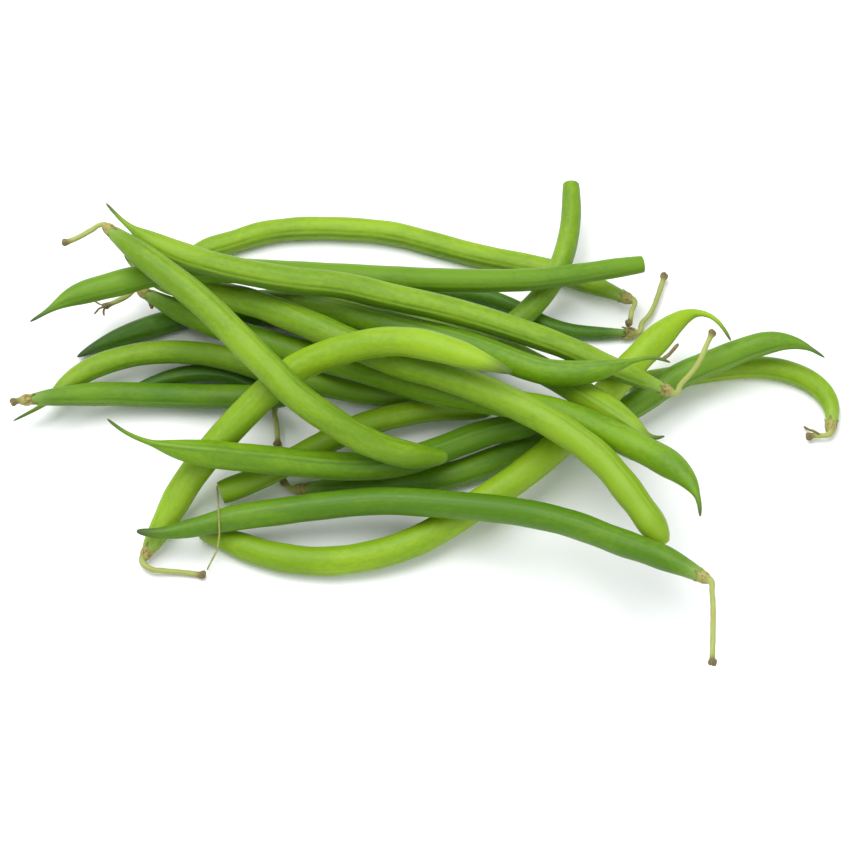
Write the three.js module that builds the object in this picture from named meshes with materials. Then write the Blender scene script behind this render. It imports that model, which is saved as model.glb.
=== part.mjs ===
// A loose heap of fresh green beans, lying on a table as they were tipped out.
// Each pod is one closed body. A stalk with its calyx cap is a body of its own where a pod still has one.
// Millimetres, +Z up, the viewer looks along +Y. The origin is at the bottom centre of the heap.
import * as THREE from "three";

// Where the heap is seen from: the routes are laid out on the plane that faces this viewer.
const SIGHT_ELEVATION = THREE.MathUtils.degToRad(60);
const SIGHT_DISTANCE = 1100;
const SIGHT_HEIGHT = 10; // height of the middle of the plane above the table

// The section of a pod.
const POD_SIDES = 8;
const POD_FLATNESS = 0.94; // height of the section over its width
const SUTURE_RISE = 0.05; // how far the seam edge stands out, over the radius
const SUTURE_SHARPNESS = 8;
const SEED_PITCH = 12.5;
const SEED_SWELL = 0.025; // swelling over a seed, over the radius
const POD_STEP = 4.4; // mean distance between two rings
const RING_CROWDING = 0.5; // how much closer the rings stand at the ends, where a pod tapers

// The ends of a pod: the share of the full radius that is left, and the length of the taper.
// A beak is a thin curved spike before the taper; its own length is the pod's.
const NECK = { share: 0.48, length: 17 };
const BEAK = { share: 0.1, spike: 0.21, length: 14 };
const POINT = { share: 0.14, length: 21 };
const SLENDER = { share: 0.2, length: 32 };
const TORN = { share: 0.45, length: 12 };
const CUT = { share: 0.93, length: 2.5 };
const BLUNT = { share: 0.5, length: 7 };

// A stalk: the calyx cap that sits on the neck, then the thin pedicel, then its torn knob.
const STALK_SIDES = 6;
const STALK_GAP = 0.35; // air between the cap and the neck
const STALK_STEP = 3;
const CAP_RADIUS = 2.1;
const CAP_LENGTH = 2.4;
const CAP_RINGS = [0, 0.33, 0.9]; // along the cap's length
const CAP_REACH = 3.9; // distance from the neck at which the pedicel starts to follow its own route
const PEDICEL_RADIUS = 0.85;
const KNOB_RADIUS = 1.15;
const KNOB_LENGTH = 1.8;
const KNOB_SWELL = 0.4; // place of the knob's thickest ring along its length

// How the heap settles.
const CHAIN_STEP = 2; // distance between two stations of a route
const STALK_STATION_STEP = 1;
const EASING_PASSES = 3;
const CLEARANCE = 0.5; // air between pods that lie on each other
const PRESSED = 0.3; // how far the underside is flattened where a pod lies on the table
const SHAPE_MODES = 6; // level, tilt and four bends
const BOW_MODE = 2;
const BOW_SPAN = 1.5; // rise of the middle over the ends when the bow mode is 1
const BEND_STIFFNESS = 1.5;
const REST_STIFFNESS = 1e-3; // keeps a chain that nothing touches from drifting
const CONTACT_STIFFNESS = 4000;
const SWEEPS = 24;
const NEWTON_STEPS = 8;
const MOST_MOVE = 4;

const GREENS = { lime: 0x9cc83c, fresh: 0x86b83e, mid: 0x6fa636, deep: 0x5a9a2c, dark: 0x4c7f2a };
const POD_ROUGHNESS = 0.45;
const STALK_COLOUR = 0xb4bf68;
const STALK_ROUGHNESS = 0.7;

// The pods from the lowest in the heap to the topmost. A route runs from the stem end to the tip, as points
// [across, up] on the plane that faces the viewer; a stalk runs outwards from the stem end. The widths are
// at the neck third, at the middle and at the tip third. The roll turns the seam round the pod, in degrees.
// The bow is how far the middle of a pod that grew curved stands above its ends.
const PODS = [
  {
    name: "right_bent", ends: [NECK, BLUNT], widths: [5.8, 5.8, 5.4], green: "lime", roll: 22.5,
    route: [[101.5, 0], [102.2, 3.2], [100.8, 7], [96.8, 10.8], [91.2, 13.2], [83.8, 14.5], [73.8, 13.8],
      [63.8, 12.2], [50, 10.2]],
    stalk: [[101.2, -0.8], [100.5, -2], [97.5, -2.5], [95.2, -3]],
  },
  {
    name: "right_long", ends: [NECK, BEAK], widths: [6.4, 7, 5.8], green: "deep", roll: -22.5, beak: 5,
    route: [[-30.8, -16], [-11.2, -15.2], [3.8, -13.2], [13.8, -10.2], [22.5, -6.8], [33.8, -3.8],
      [43.8, 0.5], [53.8, 5.8], [60, 10.2], [66.2, 13.5], [72.5, 16], [80, 19], [87.5, 21], [93.2, 20.5],
      [96.8, 19], [100, 16.8]],
    stalk: [[-31.5, -16], [-33, -15.5], [-36, -14]],
  },
  {
    name: "left_rear", ends: [NECK, POINT], widths: [6.2, 6.2, 6], green: "dark", roll: 22.5,
    route: [[-20, 22.5], [-31.2, 26.2], [-43.8, 28.2], [-56.2, 28], [-62.5, 26.2], [-71.8, 23.5],
      [-81.2, 20], [-87, 17]],
  },
  {
    name: "right_thin", ends: [NECK, BEAK], widths: [3.8, 4.4, 4.4], green: "dark", roll: 22.5, beak: 8,
    route: [[51, 23], [41.2, 23], [33.8, 23.8], [28.8, 25.8], [22.5, 29.2], [16.2, 31.8], [3.8, 33.8],
      [-10, 34.8], [-22.5, 35]],
    stalk: [[51.8, 23.2], [53.8, 25], [56.2, 27.5], [58.2, 32.2], [60, 37.8]],
  },
  {
    name: "rear_arch", ends: [NECK, BLUNT], widths: [5.8, 6.2, 6], green: "lime", roll: -22.5,
    route: [[50.2, 31.8], [46.8, 33.2], [41.8, 35.2], [33.8, 38], [26.2, 39.8], [13.8, 42.2], [2.5, 45.2],
      [-8.5, 48], [-20, 49], [-28.8, 49.2], [-40, 48.2], [-48.8, 45.5], [-55, 43.8], [-59.2, 42.5]],
    stalk: [[50.8, 31.2], [51.5, 29.8], [51.8, 27.5], [50.8, 24.8]],
  },
  {
    name: "small", ends: [NECK, POINT], widths: [5, 5, 4.4], green: "dark", roll: 22.5,
    route: [[-39.2, 6.8], [-45, 11], [-52.5, 12.8], [-61.2, 12.4], [-69.5, 10], [-77.5, 7.2]],
    stalk: [[-38.8, 6], [-37.8, 3.8], [-37, -0.8], [-36.8, -5.5]],
  },
  {
    name: "upright", ends: [CUT, BLUNT], widths: [4.6, 5.8, 5.6], green: "fresh", roll: 60,
    route: [[36.5, 60.2], [36.5, 51.2], [34.2, 40.8], [30, 33.2], [25.8, 28.5], [20, 23.8], [13.8, 20],
      [3.8, 15.8], [-7.5, 11.8]],
  },
  {
    name: "sweep", ends: [NECK, BEAK], widths: [7, 7.6, 7], green: "lime", roll: -67.5, bow: 6, beak: 12,
    route: [[-56.2, -26.8], [-48.8, -29], [-40.8, -32], [-31.2, -33.8], [-22.8, -34], [-10.8, -32],
      [0, -28], [10, -21.8], [19.5, -15.8], [28.8, -8.8], [37.5, -0.8], [45, 7.5], [51.8, 15.2],
      [57.5, 21], [62.5, 25.6], [67.5, 28.4], [71.8, 27.4], [74.8, 24.2], [76.5, 21]],
  },
  {
    name: "low_right", ends: [BLUNT, BEAK], widths: [5.6, 6.8, 6.8], green: "fresh", roll: -22.5, bow: 3,
    beak: 4,
    route: [[-40, 33], [-28, 31.4], [-15, 29.2], [-2, 26.6], [10, 23.6], [15.5, 21], [22, 17.6], [30, 13.4],
      [37.5, 9], [43.8, 5.2], [48.8, 2], [53.8, -1.6], [57.2, -4], [60, -2.8]],
  },
  {
    name: "left_arch", ends: [BLUNT, BEAK], widths: [5.6, 6, 5.8], green: "fresh", roll: 20, beak: 9,
    route: [[7.5, 6.8], [2.5, 6.5], [-6.2, 7.2], [-18.8, 8.5], [-28.8, 10.8], [-36.2, 12.2],
      [-42.5, 14.5], [-50, 16.8], [-57.5, 18], [-67.5, 18.2], [-75, 17], [-83.8, 14], [-90.8, 9.2],
      [-95, 5.2], [-98.8, 3.2], [-103, 1]],
  },
  {
    name: "left_flat", ends: [NECK, BLUNT], widths: [5.4, 6.4, 6], green: "deep", roll: -20,
    route: [[-99.4, 6.3], [-93.2, 7], [-81.2, 7.8], [-68.8, 7.5], [-56.2, 7.2], [-45, 7], [-36.2, 7],
      [-31.8, 7.2]],
    stalk: [[-100.4, 6.1], [-101.8, 5.9], [-103.6, 5.6]],
  },
  {
    name: "curl", ends: [NECK, BEAK], widths: [6.4, 6.8, 6.6], green: "mid", roll: 25, bow: 10, beak: 11,
    route: [[-49, 32], [-42.5, 31.4], [-35.5, 30.6], [-24, 28.9], [-11.2, 25.6], [1.2, 22.6],
      [12.8, 19.4], [21.2, 16.2], [30, 13.2], [38, 12.9], [45, 14], [51.2, 15.8], [55.2, 17],
      [58.6, 17], [61.4, 15.6]],
  },
  {
    name: "crossbar", ends: [CUT, BEAK], widths: [4.8, 6.6, 6.6], green: "deep", roll: 10, beak: 6,
    route: [[54.5, 40.2], [46.2, 39], [38.8, 37.8], [28.8, 36.5], [13.8, 36], [1.2, 36.2], [-21.2, 37.2],
      [-41.2, 38.2], [-56.2, 38.8], [-68.8, 37.5], [-76.2, 35.5], [-83.8, 33.6], [-89.6, 31.6],
      [-93.8, 28.8], [-98.8, 25.8]],
  },
  {
    name: "back_diagonal", ends: [NECK, BEAK], widths: [5.4, 6.8, 6.4], green: "fresh", roll: -35, bow: 6,
    beak: 9,
    route: [[60.2, 8.8], [55, 11], [48.8, 13.5], [42.5, 16.2], [33.8, 20], [23.8, 23.5], [12.8, 27],
      [1.2, 30], [-7.5, 31.8], [-19.8, 34.8], [-31.2, 36], [-43.8, 38], [-52.5, 40], [-58.8, 41.8],
      [-66.2, 44.8], [-72.5, 48.5], [-76.2, 51.5], [-79.8, 55.5]],
    stalk: [[60.8, 8.5], [62.5, 9.2], [64.5, 10.8], [68.2, 15.2], [71.2, 21.8], [72.2, 23.5]],
  },
  {
    name: "cut_end", ends: [CUT, BLUNT], widths: [6.2, 6.4, 6], green: "lime", roll: 0,
    route: [[-51.2, -17], [-43.8, -14.2], [-33.8, -9.2], [-23.8, -3.8], [-15, 0.2], [-6.2, 2.5],
      [1.2, 3.8], [9, 4.2], [17, 3.6]],
  },
  {
    name: "hooked", ends: [NECK, BEAK], widths: [6, 7.2, 7.2], green: "mid", roll: 15, bow: 6, beak: 7,
    route: [[-70, 33], [-61.2, 28.5], [-52.5, 25], [-43.8, 22], [-31.2, 18.2], [-15, 13.8], [3.8, 8.2],
      [18.8, 5.8], [33.8, 3], [43.8, -1], [51.2, -4.5], [57.5, -7.6], [62.8, -10.8], [66, -13.8],
      [67.9, -16.8], [68.9, -19.8], [68.8, -22.9]],
    stalk: [[-70.5, 33.2], [-73, 33], [-76.8, 31], [-80.5, 29.5]],
  },
  {
    name: "left_beak", ends: [BLUNT, BEAK], widths: [6.8, 7.2, 6.8], green: "mid", roll: -15, bow: 4,
    beak: 13,
    route: [[30.5, 1.2], [26, 0.2], [20.5, -0.8], [15.2, -2], [5.8, -5.5], [-2.5, -8.5], [-11.2, -10.2],
      [-23.8, -10.2], [-36.2, -9], [-48.8, -7.8], [-59, -6.6], [-66, -5.2], [-71.8, -3.4], [-76.2, -1.2],
      [-79.5, 1.6]],
  },
  {
    name: "long_diagonal", ends: [BLUNT, BEAK], widths: [7.2, 7.6, 5.6], green: "fresh", roll: -20, bow: 18,
    beak: 8,
    route: [[60, -29.8], [58.2, -27], [55, -22.2], [49, -14.2], [43.8, -8.2], [32.5, 0], [22.5, 5.2],
      [13.8, 9], [3.8, 12.8], [-5.5, 15.2], [-17.5, 20], [-26.8, 24.2], [-35.5, 27.8], [-43.8, 30.8],
      [-52.5, 33], [-61.2, 34.8], [-68.8, 36.8], [-73, 39.2], [-75.2, 42.5]],
  },
  {
    name: "arch", ends: [NECK, POINT], widths: [7.2, 7.6, 7.4], green: "lime", roll: -45, bow: 12,
    route: [[-69.5, -31.8], [-65, -24], [-60.8, -16.2], [-56.8, -10.5], [-50.8, -3.2], [-44, 4],
      [-37.5, 10.2], [-31.2, 14.8], [-22.5, 18.2], [-15, 20.2], [-6, 21], [2.5, 19.6], [11.2, 17],
      [17.5, 14.8], [21.8, 13]],
    stalk: [[-70, -32.6], [-70.6, -34.6], [-69, -36], [-65.4, -36.4], [-61.2, -36.8], [-54.8, -37.6]],
  },
  {
    name: "front", ends: [NECK, SLENDER], widths: [6.4, 7, 6.6], green: "deep", roll: 40, bow: 5,
    route: [[69.5, -38], [66.2, -36.2], [58, -32.5], [48, -29], [37, -24.8], [23.8, -21.8], [3.8, -19.8],
      [-10.8, -19], [-25, -20.2], [-38.8, -22], [-47.5, -23.2], [-55, -25], [-61.2, -26.4],
      [-67.5, -27.2], [-72.2, -26.5]],
    stalk: [[70, -38.5], [71.5, -40.2], [72, -45], [72, -51.5], [71.8, -60]],
  },
  {
    name: "top_diagonal", ends: [NECK, TORN], widths: [6.6, 7.4, 6.8], green: "fresh", roll: -10, bow: 6,
    route: [[-78.8, 48.8], [-75.2, 46], [-68.8, 41], [-56.5, 31.5], [-46.8, 22], [-37.5, 12.8],
      [-32.8, 7.8], [-23.5, 1.2], [-15.2, -3.8], [-8.2, -6.5], [-2.5, -7.8], [5.5, -8]],
    stalk: [[-79.2, 49], [-81.2, 49.8], [-83.8, 48.5], [-86.8, 46.8], [-90.8, 45.2]],
  },
];

// Where a pod passes over or under another against the list's order, between two places across.
const WEAVES = [
  { pod: "left_beak", over: "arch", from: -110, to: -20 },
  { pod: "left_beak", under: "hooked", from: 14, to: 110 },
  { pod: "curl", over: "back_diagonal", from: 20, to: 110 },
  { pod: "long_diagonal", under: "crossbar", from: -110, to: -38 },
  { pod: "hooked", over: "curl", from: -110, to: -50 },
];
const LEVEL_OVER = 0.5;
const LEVEL_UNDER = 0.25;

const up = new THREE.Vector3(0, 0, 1);
const toViewer = new THREE.Vector3(0, -Math.cos(SIGHT_ELEVATION), Math.sin(SIGHT_ELEVATION));
const planeUp = new THREE.Vector3(0, Math.sin(SIGHT_ELEVATION), Math.cos(SIGHT_ELEVATION));
const planeMiddle = new THREE.Vector3(0, 0, SIGHT_HEIGHT);
const viewer = planeMiddle.clone().addScaledVector(toViewer, SIGHT_DISTANCE);

// The point at a height above the table that the viewer sees at a place on the plane.
function seenAt(across, rise, height) {
  const onPlane = planeMiddle.clone().addScaledVector(planeUp, rise);
  onPlane.x += across;
  const ray = onPlane.sub(viewer);
  return viewer.clone().addScaledVector(ray, (height - viewer.z) / ray.z);
}

// Points at even steps on a smooth curve through a route, eased so that no hand-placed point shows as a kink.
function spaced(route, step) {
  const points = route.map(([across, rise]) => new THREE.Vector3(across, rise, 0));
  const curve = new THREE.CatmullRomCurve3(points, false, "centripetal");
  const count = Math.max(2, Math.round(curve.getLength() / step));
  const even = curve.getSpacedPoints(count);
  for (let pass = 0; pass < EASING_PASSES; pass++) {
    const before = even.map((p) => p.clone());
    for (let i = 1; i < count; i++) {
      even[i].addVectors(before[i - 1], before[i + 1]).addScaledVector(before[i], 2).divideScalar(4);
    }
  }
  return even;
}

const eased = (t) => t * t * (3 - 2 * t);

// The share of its full radius that a pod has at a distance from one of its ends.
function taper(end, distance, beakLength) {
  const spikeLength = end.spike ? beakLength : 0;
  const inside = Math.max(0, distance);
  if (inside < spikeLength) return THREE.MathUtils.lerp(end.share, end.spike, inside / spikeLength);
  const grown = Math.sqrt(eased(Math.min(1, (inside - spikeLength) / end.length)));
  return THREE.MathUtils.lerp(end.spike ?? end.share, 1, grown);
}

// The radius of a pod at a distance from its stem end.
function podRadius(pod, along, length) {
  const [neckWidth, midWidth, tipWidth] = pod.widths;
  const [stem, tip] = pod.ends;
  const t = THREE.MathUtils.clamp(along / length, 0, 1);
  const side = t < 0.5 ? neckWidth : tipWidth;
  const body = THREE.MathUtils.lerp(side, midWidth, Math.sin(Math.PI * t)) / 2;
  const swell = 1 + SEED_SWELL * Math.sin((2 * Math.PI * along) / SEED_PITCH + pod.roll);
  return body * swell * taper(stem, along, pod.beak) * taper(tip, length - along, pod.beak);
}

// The radius of a stalk at a distance from its cap's face.
function stalkRadius(along, length) {
  const ofCap = eased(Math.min(1, along / CAP_LENGTH));
  const ofKnob = 1 - eased(Math.min(1, (length - along) / KNOB_LENGTH));
  const swelling = (CAP_RADIUS - PEDICEL_RADIUS) * (1 - ofCap) + (KNOB_RADIUS - PEDICEL_RADIUS) * ofKnob;
  return PEDICEL_RADIUS + swelling;
}

// Legendre polynomials up to a count, at x.
function legendre(x, count) {
  const p = [1, x];
  for (let n = 1; n < count - 1; n++) {
    p.push(((2 * n + 1) * x * p[n] - n * p[n - 1]) / (n + 1));
  }
  return p;
}

// The place of a pod in the list says what it lies on; a stretch that weaves counts as at another place.
const placeOf = (name) => PODS.findIndex((pod) => pod.name === name);
function level(name, across) {
  const weave = WEAVES.find((w) => w.pod === name && across > w.from && across < w.to);
  if (!weave) return placeOf(name);
  return weave.over ? placeOf(weave.over) + LEVEL_OVER : placeOf(weave.under) - LEVEL_UNDER;
}

// Puts each station of a chain at the height that the chain's bends give it.
function place(chain) {
  for (const s of chain.stations) {
    s.height = s.shapes.reduce((sum, shape, m) => sum + shape * chain.bends[m], 0);
    s.point = seenAt(s.across, s.rise, s.height);
    s.lift = viewer.clone().sub(s.point).normalize();
  }
}

// A chain of stations for a pod and its stalk, in one row from the stalk's end to the pod's tip.
function chainOf(pod) {
  const body = spaced(pod.route, CHAIN_STEP);
  const bodyLength = (body.length - 1) * CHAIN_STEP;
  const stations = body.map((p, i) => ({
    across: p.x, rise: p.y, radius: podRadius(pod, i * CHAIN_STEP, bodyLength), ofPod: true,
  }));
  if (pod.stalk) {
    const stalk = spaced(pod.stalk, STALK_STATION_STEP);
    const stalkLength = (stalk.length - 1) * STALK_STATION_STEP;
    const row = stalk.map((p, i) => ({
      across: p.x, rise: p.y, radius: stalkRadius(i * STALK_STATION_STEP, stalkLength), ofPod: false,
    }));
    stations.unshift(...row.reverse());
  }
  // Place along the chain from -1 to 1, for the shapes that it may take.
  const steps = stations.map((s, i) => {
    const before = stations[Math.max(0, i - 1)];
    return Math.hypot(s.across - before.across, s.rise - before.rise);
  });
  const total = steps.reduce((sum, step) => sum + step, 0);
  let along = 0;
  stations.forEach((s, i) => {
    along += steps[i];
    s.shapes = legendre((2 * along) / total - 1, SHAPE_MODES);
    s.level = level(pod.name, s.across);
  });
  const atRest = new Array(SHAPE_MODES).fill(0);
  atRest[BOW_MODE] = -(pod.bow ?? 0) / BOW_SPAN;
  const widest = Math.max(...stations.map((s) => s.radius));
  const bends = atRest.map((_, m) => (m === 0 ? widest : 0));
  const chain = { pod, stations, bends, atRest };
  place(chain);
  return chain;
}

// The lowest height that each station of a chain may have, on the table and on the pods below it.
function lowestHeights(chain, chains) {
  return chain.stations.map((s) => {
    let lowest = s.radius * POD_FLATNESS - (s.ofPod ? PRESSED : 0);
    for (const other of chains) {
      if (other === chain) continue;
      for (const o of other.stations) {
        const reach = s.radius + o.radius + CLEARANCE;
        if (Math.abs(s.across - o.across) > reach || Math.abs(s.rise - o.rise) > reach) continue;
        if (o.level > s.level) continue;
        const apart = s.point.clone().sub(o.point);
        const depth = apart.dot(s.lift);
        const beside = apart.addScaledVector(s.lift, -depth).lengthSq();
        if (beside >= reach * reach) continue;
        const raise = Math.sqrt(reach * reach - beside) - depth;
        lowest = Math.max(lowest, s.height + raise * s.lift.z);
      }
    }
    return lowest;
  });
}

// Solves a small system of equations by elimination with pivoting.
function solve(matrix, right) {
  const n = right.length;
  const rows = matrix.map((row, i) => [...row, right[i]]);
  for (let c = 0; c < n; c++) {
    let best = c;
    for (let r = c + 1; r < n; r++) {
      if (Math.abs(rows[r][c]) > Math.abs(rows[best][c])) best = r;
    }
    [rows[c], rows[best]] = [rows[best], rows[c]];
    for (let r = 0; r < n; r++) {
      if (r === c) continue;
      const factor = rows[r][c] / rows[c][c];
      for (let k = c; k <= n; k++) rows[r][k] -= factor * rows[c][k];
    }
  }
  return rows.map((row, i) => row[n] / row[i]);
}

// Lets one chain come down under its weight until what lies below it holds it: level and tilt are free,
// and each bend costs more the finer it is.
function settle(chain, chains) {
  const lowest = lowestHeights(chain, chains);
  for (let step = 0; step < NEWTON_STEPS; step++) {
    const push = new Array(SHAPE_MODES).fill(0);
    const stiff = push.map((_, m) => push.map((__, n) => (m === n ? REST_STIFFNESS : 0)));
    for (let m = BOW_MODE; m < SHAPE_MODES; m++) {
      stiff[m][m] += BEND_STIFFNESS * m ** 4;
      push[m] -= BEND_STIFFNESS * m ** 4 * (chain.bends[m] - chain.atRest[m]);
    }
    chain.stations.forEach((s, i) => {
      const height = s.shapes.reduce((sum, shape, m) => sum + shape * chain.bends[m], 0);
      const short = lowest[i] - height;
      s.shapes.forEach((shape, m) => {
        push[m] -= s.radius ** 2 * shape;
        if (short <= 0) return;
        push[m] += CONTACT_STIFFNESS * short * shape;
        s.shapes.forEach((other, n) => {
          stiff[m][n] += CONTACT_STIFFNESS * shape * other;
        });
      });
    });
    const move = solve(stiff, push);
    const most = Math.max(...move.map(Math.abs));
    const share = most > MOST_MOVE ? MOST_MOVE / most : 1;
    chain.bends = chain.bends.map((bend, m) => bend + share * move[m]);
  }
  place(chain);
}

// A closed body from rings of vertices along a path, with a pole at each end.
function sweptBody(centres, radii, sides, ringPoint) {
  const positions = [];
  const add = (p) => positions.push(p.x, p.y, Math.max(0, p.z)) / 3 - 1;
  const last = centres.length - 1;
  const rings = centres.map((centre, i) => {
    const along = centres[Math.min(last, i + 1)].clone().sub(centres[Math.max(0, i - 1)]).normalize();
    const side = along.clone().cross(up).normalize();
    const top = side.clone().cross(along);
    return Array.from({ length: sides }, (_, k) => {
      const [x, y] = ringPoint((2 * Math.PI * k) / sides);
      return add(centre.clone().addScaledVector(side, radii[i] * x).addScaledVector(top, radii[i] * y));
    });
  });
  const poles = [add(centres[0]), add(centres[last])];
  const faces = [];
  for (let k = 0; k < sides; k++) {
    const next = (k + 1) % sides;
    faces.push(poles[0], rings[0][k], rings[0][next]);
    faces.push(poles[1], rings[last][next], rings[last][k]);
    for (let i = 0; i < last; i++) {
      faces.push(rings[i][k], rings[i + 1][k], rings[i + 1][next]);
      faces.push(rings[i][k], rings[i + 1][next], rings[i][next]);
    }
  }
  const geometry = new THREE.BufferGeometry();
  geometry.setAttribute("position", new THREE.Float32BufferAttribute(positions, 3));
  geometry.setIndex(faces);
  return geometry;
}

// The settled middle line of a chain's pod, from the stem end to the tip.
function podLine(chain) {
  return new THREE.CatmullRomCurve3(chain.stations.filter((s) => s.ofPod).map((s) => s.point));
}

// The middle line of a chain's stalk: it leaves the neck squarely, and then follows its own stations.
function stalkLine(chain) {
  const neck = podLine(chain);
  const start = neck.getPoint(0);
  const outwards = neck.getTangent(0).negate();
  const root = [STALK_GAP, CAP_LENGTH / 2, CAP_LENGTH].map((d) => start.clone().addScaledVector(outwards, d));
  const stations = chain.stations.filter((s) => !s.ofPod).map((s) => s.point).reverse();
  const clear = stations.findIndex((p) => p.distanceTo(start) > CAP_REACH);
  return new THREE.CatmullRomCurve3([...root, ...stations.slice(clear)], false, "centripetal");
}

function podMesh(chain) {
  const { pod } = chain;
  const line = podLine(chain);
  const length = line.getLength();
  const count = Math.round(length / POD_STEP);
  const roll = THREE.MathUtils.degToRad(pod.roll);
  const places = Array.from({ length: count + 1 }, (_, i) => {
    const t = i / count;
    return t - (RING_CROWDING * Math.sin(2 * Math.PI * t)) / (2 * Math.PI);
  });
  const section = (angle) => {
    const seam = 1 + SUTURE_RISE * Math.max(0, Math.cos(angle)) ** SUTURE_SHARPNESS;
    const turned = angle + roll;
    return [Math.cos(turned) * seam, Math.sin(turned) * seam * POD_FLATNESS];
  };
  const geometry = sweptBody(
    places.map((t) => line.getPointAt(t)),
    places.map((t) => podRadius(pod, t * length, length)),
    POD_SIDES,
    section,
  );
  const skin = new THREE.MeshStandardMaterial({ color: GREENS[pod.green], roughness: POD_ROUGHNESS });
  const mesh = new THREE.Mesh(geometry, skin);
  mesh.name = `${pod.name}_pod`;
  return mesh;
}

function stalkMesh(chain) {
  const line = stalkLine(chain);
  const length = line.getLength();
  const rest = length - KNOB_LENGTH - CAP_LENGTH;
  const count = Math.max(0, Math.round(rest / STALK_STEP));
  const pedicel = Array.from({ length: count }, (_, i) => CAP_LENGTH + (rest * (i + 1)) / count);
  const cap = CAP_RINGS.map((share) => CAP_LENGTH * share);
  const distances = [...cap, ...pedicel, length - KNOB_LENGTH * KNOB_SWELL, length];
  const geometry = sweptBody(
    distances.map((d) => line.getPointAt(Math.min(1, d / length))),
    distances.map((d) => stalkRadius(d, length)),
    STALK_SIDES,
    (angle) => [Math.cos(angle), Math.sin(angle)],
  );
  const skin = new THREE.MeshStandardMaterial({ color: STALK_COLOUR, roughness: STALK_ROUGHNESS });
  const mesh = new THREE.Mesh(geometry, skin);
  mesh.name = `${chain.pod.name}_stalk`;
  return mesh;
}

const chains = PODS.map(chainOf);
for (let sweep = 0; sweep < SWEEPS; sweep++) {
  for (const chain of chains) settle(chain, chains);
}

const heap = new THREE.Group();
for (const chain of chains) {
  heap.add(podMesh(chain));
  if (chain.pod.stalk) heap.add(stalkMesh(chain));
}

// The heap is moved so that the origin is at its bottom centre.
const extent = new THREE.Box3().setFromObject(heap);
const middle = extent.getCenter(new THREE.Vector3());
heap.position.set(-middle.x, -middle.y, -extent.min.z);

export default heap;
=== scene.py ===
"""A loose heap of fresh green beans on a pale surface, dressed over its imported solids.

Every pod and every stalk is modelled straight, ring by ring, and then laid along the middle line of the solid
that it stands for. Lengths are in metres, +Z is up, and the viewer looks along +Y and down.
"""
import logging
import math
from collections.abc import Callable, Sequence
from dataclasses import dataclass, field
from enum import Enum

import bpy
import numpy as np
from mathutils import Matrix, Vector


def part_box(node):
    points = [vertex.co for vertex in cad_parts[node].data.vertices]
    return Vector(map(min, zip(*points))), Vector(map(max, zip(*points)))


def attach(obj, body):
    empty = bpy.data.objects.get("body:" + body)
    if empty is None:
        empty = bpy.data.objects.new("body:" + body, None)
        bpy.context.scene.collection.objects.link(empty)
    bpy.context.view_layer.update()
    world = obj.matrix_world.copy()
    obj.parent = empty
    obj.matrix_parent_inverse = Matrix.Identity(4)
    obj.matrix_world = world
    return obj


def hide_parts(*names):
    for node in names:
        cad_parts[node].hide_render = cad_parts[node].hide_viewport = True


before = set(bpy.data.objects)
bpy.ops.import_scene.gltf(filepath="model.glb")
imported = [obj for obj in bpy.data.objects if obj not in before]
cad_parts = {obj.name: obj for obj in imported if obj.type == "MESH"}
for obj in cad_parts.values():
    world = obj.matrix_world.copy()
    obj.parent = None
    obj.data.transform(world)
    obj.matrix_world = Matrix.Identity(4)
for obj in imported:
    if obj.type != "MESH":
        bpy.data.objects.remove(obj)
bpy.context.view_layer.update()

MM = 0.001
BODY = "root"
STALK_SLOT = "stalk"
STRAIGHT = "straight"  # attribute: place on the body before it was bent, in millimetres
MARKS = "marks"  # attribute: how pale, dark and freshly cut a pod is there, or how tan and brown a stalk
SEAM_AND_PAINTED_LIGHT = "seam_and_painted_light"  # attribute: how clearly a pod's seam shows, the painted light and shade along the pod, and the painted shade below the seam
PATTERN_SHIFT = 400  # mm; how far along the pattern a piece may start, either way
log = logging.getLogger("green_beans")


class End(Enum):
    """How an end of a pod is shaped."""

    NECK = "neck"
    BEAK = "beak"
    POINT = "point"
    TORN = "torn"
    CUT = "cut"
    BLUNT = "blunt"


class Green(Enum):
    """The skin colours of the pods, as the record's slots name them; the darkest is partly painted shade."""

    LIME = "pod_lime"
    FRESH = "pod_fresh"
    MID = "pod_mid"
    DEEP = "pod_deep"
    # partly painted shade: the darkest green, given to pods that lie in the shade of others
    DARK = "pod_dark"


LIGHT_PLACES = (0.08, 0.5, 0.92)  # where along a pod its three values of painted light and shade are


@dataclass(frozen=True)
class PodSpec:
    """One pod of the heap.

    The seam's place is an angle round the pod: 0 is on top and 90 is on the side that faces the viewer. The
    lights are painted light and shade: how much lighter the skin is painted at the stem end, in the middle
    and at the tip. The painted shade below the seam says how much darker the skin is painted on the side
    below it.
    """

    name: str
    stem: End
    tip: End
    green: Green
    seam: float
    seam_strength: float = 1.0
    stalk: bool = False
    lights: tuple[float, float, float] = (0.0, 0.0, 0.0)
    # how much painted shade darkens the side below the seam
    painted_shade_below_seam: float = 0.0


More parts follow.
